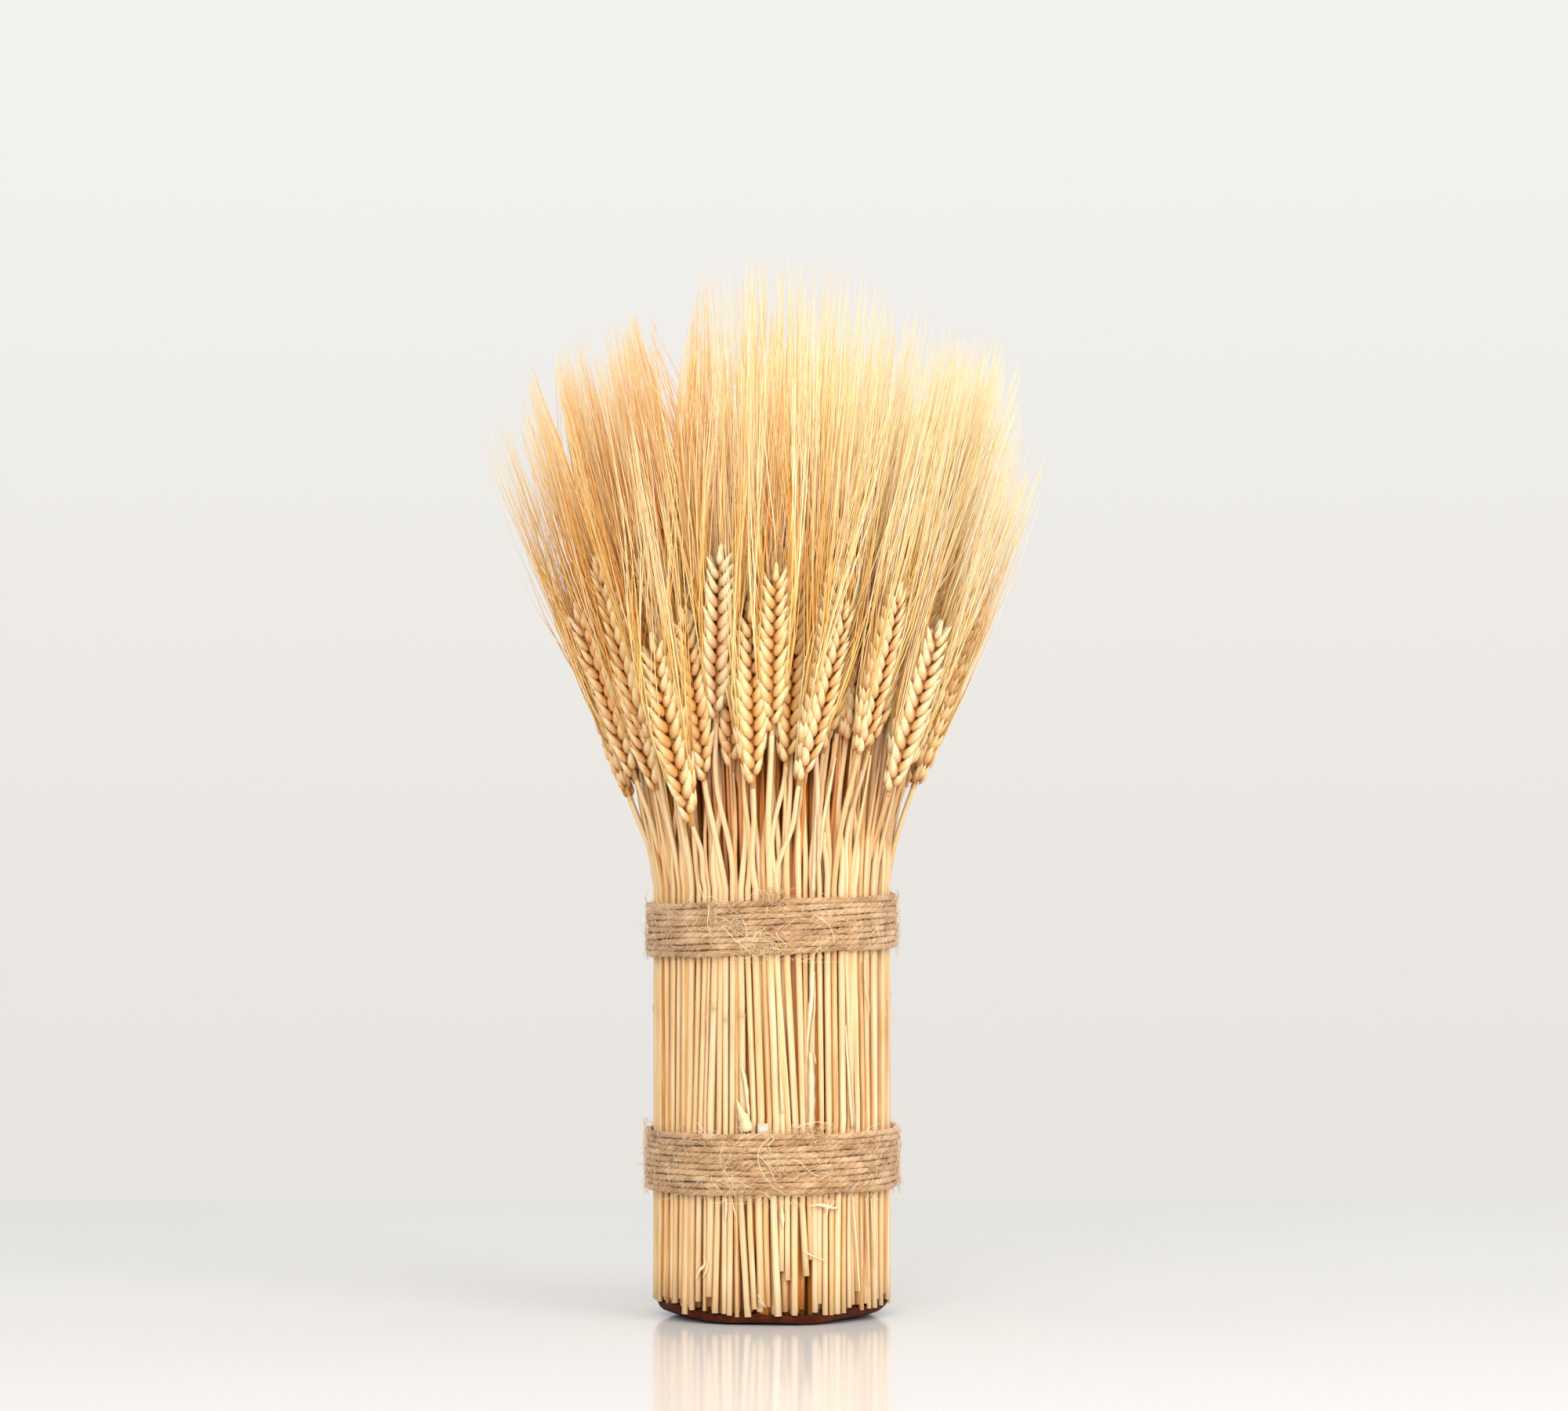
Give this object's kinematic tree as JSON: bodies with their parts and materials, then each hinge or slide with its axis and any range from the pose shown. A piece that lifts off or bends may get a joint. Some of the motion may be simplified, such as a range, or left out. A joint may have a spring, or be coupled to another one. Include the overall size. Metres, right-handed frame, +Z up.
{
  "type": "bundle of dried wheat",
  "caption": "Free-standing sheaf of dried bearded wheat, wound with two bands of jute twine, with its ears and awns flaring out above, on a round felt pad.",
  "frame": {"origin": "middle of the underside of the felt pad, on the axis of the straw column", "axes": "+Z up along the straw column; the front that the picture shows faces -Y, and +X is to its right"},
  "size_m": [0.2237, 0.2279, 0.4044],
  "materials": {
    "straw": "satin",
    "inner_straw": "matte",
    "jute_twine": "matte",
    "tape": "satin",
    "felt": "matte"
  },
  "bodies": {
    "root": {"felt_pad": "felt", "binding_tape": "tape", "twine_band_lower": "jute_twine", "twine_band_upper": "jute_twine", "stem_outer_01": "straw", "stem_outer_02": "straw", "stem_outer_03": "straw", "stem_outer_04": "straw", "stem_outer_05": "straw", "stem_outer_06": "straw", "stem_outer_07": "straw", "stem_outer_08": "straw", "stem_outer_09": "straw", "stem_outer_10": "straw", "stem_outer_11": "straw", "stem_outer_12": "straw", "stem_outer_13": "straw", "stem_outer_14": "straw", "stem_outer_15": "straw", "stem_outer_16": "straw", "stem_outer_17": "straw", "stem_outer_18": "straw", "stem_outer_19": "straw", "stem_outer_20": "straw", "stem_outer_21": "straw", "stem_outer_22": "straw", "stem_outer_23": "straw", "stem_outer_24": "straw", "stem_outer_25": "straw", "stem_outer_26": "straw", "stem_outer_27": "straw", "stem_outer_28": "straw", "stem_outer_29": "straw", "stem_outer_30": "straw", "stem_outer_31": "straw", "stem_outer_32": "straw", "stem_outer_33": "straw", "stem_outer_34": "straw", "stem_outer_35": "straw", "stem_outer_36": "straw", "stem_outer_37": "straw", "stem_outer_38": "straw", "stem_outer_39": "straw", "stem_outer_40": "straw", "stems_inner_1": "inner_straw", "stems_inner_2": "inner_straw", "stems_inner_3": "inner_straw", "stems_inner_4": "inner_straw", "stems_inner_5": "inner_straw", "stems_inner_6": "inner_straw", "stems_middle": "inner_straw"}
  },
  "joints": []
}
